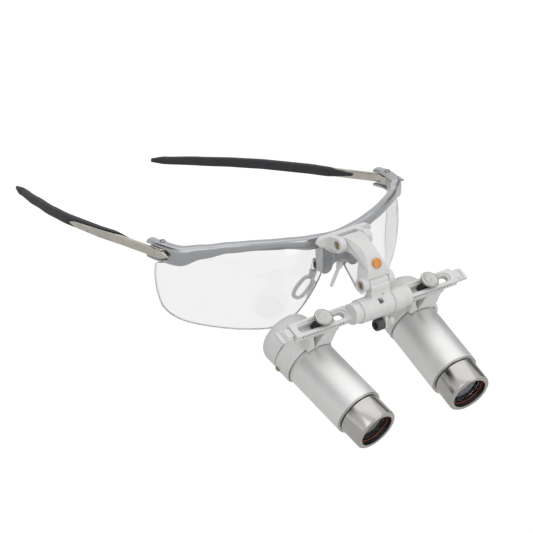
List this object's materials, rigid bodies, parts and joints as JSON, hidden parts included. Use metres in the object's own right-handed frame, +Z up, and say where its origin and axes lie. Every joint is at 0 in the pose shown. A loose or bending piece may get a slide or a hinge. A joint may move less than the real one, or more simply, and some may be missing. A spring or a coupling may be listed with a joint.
{
  "type": "dental loupes",
  "caption": "Half-rim sports spectacles carrying prism telescopes on a flip-up arm, with sliding and tilting mounts and folding temples.",
  "frame": {"origin": "where the nose sits: on the middle plane, midway between the two nose pads, level with their middles", "axes": "+Z up, -Y the way the wearer looks, +X the wearer's left"},
  "size_m": [0.1444, 0.2389, 0.0778],
  "materials": {
    "bar": "satin silver lacquer",
    "lens": "clear, faint grey tint",
    "temple_metal": "satin nickel",
    "sleeve": "matte moulded rubber",
    "screw": "turned, slotted",
    "silicone": "translucent silicone",
    "pad_arm": "clear polycarbonate",
    "housing": "fine moulded grain",
    "badge": "enamel",
    "black": "satin",
    "barrel": "silver lacquer over turned tube",
    "ring": "turned and polished",
    "objective": "anti-reflection coating",
    "prism": "polished faces",
    "eyecup": "soft matte rubber",
    "knob": "turned, fluted edge"
  },
  "bodies": {
    "frame": {"brow_bar": "bar", "lens_right": "lens", "lens_left": "lens", "nose_pad_right": "silicone", "nose_pad_left": "silicone", "pad_arm_right": "pad_arm", "pad_arm_left": "pad_arm", "temple_screw_right": "screw", "temple_screw_left": "screw", "clamp_block": "housing", "clamp_jaw": "housing", "clamp_screw_right": "screw", "clamp_screw_left": "screw", "upper_pivot_screw_right": "screw", "upper_pivot_screw_left": "screw"},
    "temple_right": {"temple_metal_right": "temple_metal", "temple_sleeve_right": "sleeve"},
    "temple_left": {"temple_metal_left": "temple_metal", "temple_sleeve_left": "sleeve"},
    "arm": {"flip_arm": "housing", "arm_badge": "badge", "tilt_pivot_screw_right": "screw", "tilt_pivot_screw_left": "screw"},
    "link": {"tilt_link": "housing", "hub_collar": "housing", "lock_stub": "housing", "rail_right": "housing", "rail_left": "housing", "rail_tip_right": "housing", "rail_tip_left": "housing"},
    "lock": {"lock_knob": "black"},
    "optic_right": {"optic_mount_right": "housing", "mount_screw_right": "screw", "barrel_right": "barrel", "objective_ring_right": "ring", "objective_lens_right": "objective", "retaining_ring_right": "black", "prism_shell_right": "housing", "prism_right": "prism", "eyecup_right": "eyecup", "eye_lens_right": "objective", "slot_nut_right": "black"},
    "knob_right": {"thumb_knob_right": "knob"},
    "optic_left": {"optic_mount_left": "housing", "mount_screw_left": "screw", "barrel_left": "barrel", "objective_ring_left": "ring", "objective_lens_left": "objective", "retaining_ring_left": "black", "prism_shell_left": "housing", "prism_left": "prism", "eyecup_left": "eyecup", "eye_lens_left": "objective", "slot_nut_left": "black"},
    "knob_left": {"thumb_knob_left": "knob"}
  },
  "joints": [
    {"name": "flip_up", "type": "hinge", "parent": "frame", "child": "arm", "pos_m": [0, -0.0244, 0.0281], "axis": [-1, 0, 0], "range_deg": [0, 80]},
    {"name": "declination_tilt", "type": "hinge", "parent": "arm", "child": "link", "pos_m": [0, -0.0407, 0.0145], "axis": [1, 0, 0], "range_deg": [-25, 3]},
    {"name": "temple_right_fold", "type": "hinge", "parent": "frame", "child": "temple_right", "pos_m": [-0.066, 0.028, 0.027], "axis": [0, 0, -1], "range_deg": [0, 86]},
    {"name": "temple_left_fold", "type": "hinge", "parent": "frame", "child": "temple_left", "pos_m": [0.066, 0.028, 0.027], "axis": [0, 0, 1], "range_deg": [-22.1, 48]},
    {"name": "pupil_slide_right", "type": "slide", "parent": "link", "child": "optic_right", "axis": [1, 0, 0], "range_m": [-0.006, 0.005]},
    {"name": "pupil_slide_left", "type": "slide", "parent": "link", "child": "optic_left", "axis": [1, 0, 0], "range_m": [-0.005, 0.006]},
    {"name": "thumb_screw_right", "type": "hinge", "parent": "optic_right", "child": "knob_right", "pos_m": [-0.0309, -0.0405, 0.0028], "axis": [0, -0.454, 0.891], "range_deg": [0, 180]},
    {"name": "thumb_screw_left", "type": "hinge", "parent": "optic_left", "child": "knob_left", "pos_m": [0.0309, -0.0405, 0.0028], "axis": [0, -0.454, 0.891], "range_deg": [0, 180]},
    {"name": "tilt_lock", "type": "hinge", "parent": "link", "child": "lock", "pos_m": [0, -0.0454, -0.0048], "axis": [1, 0, 0], "range_deg": [0, 120]}
  ]
}
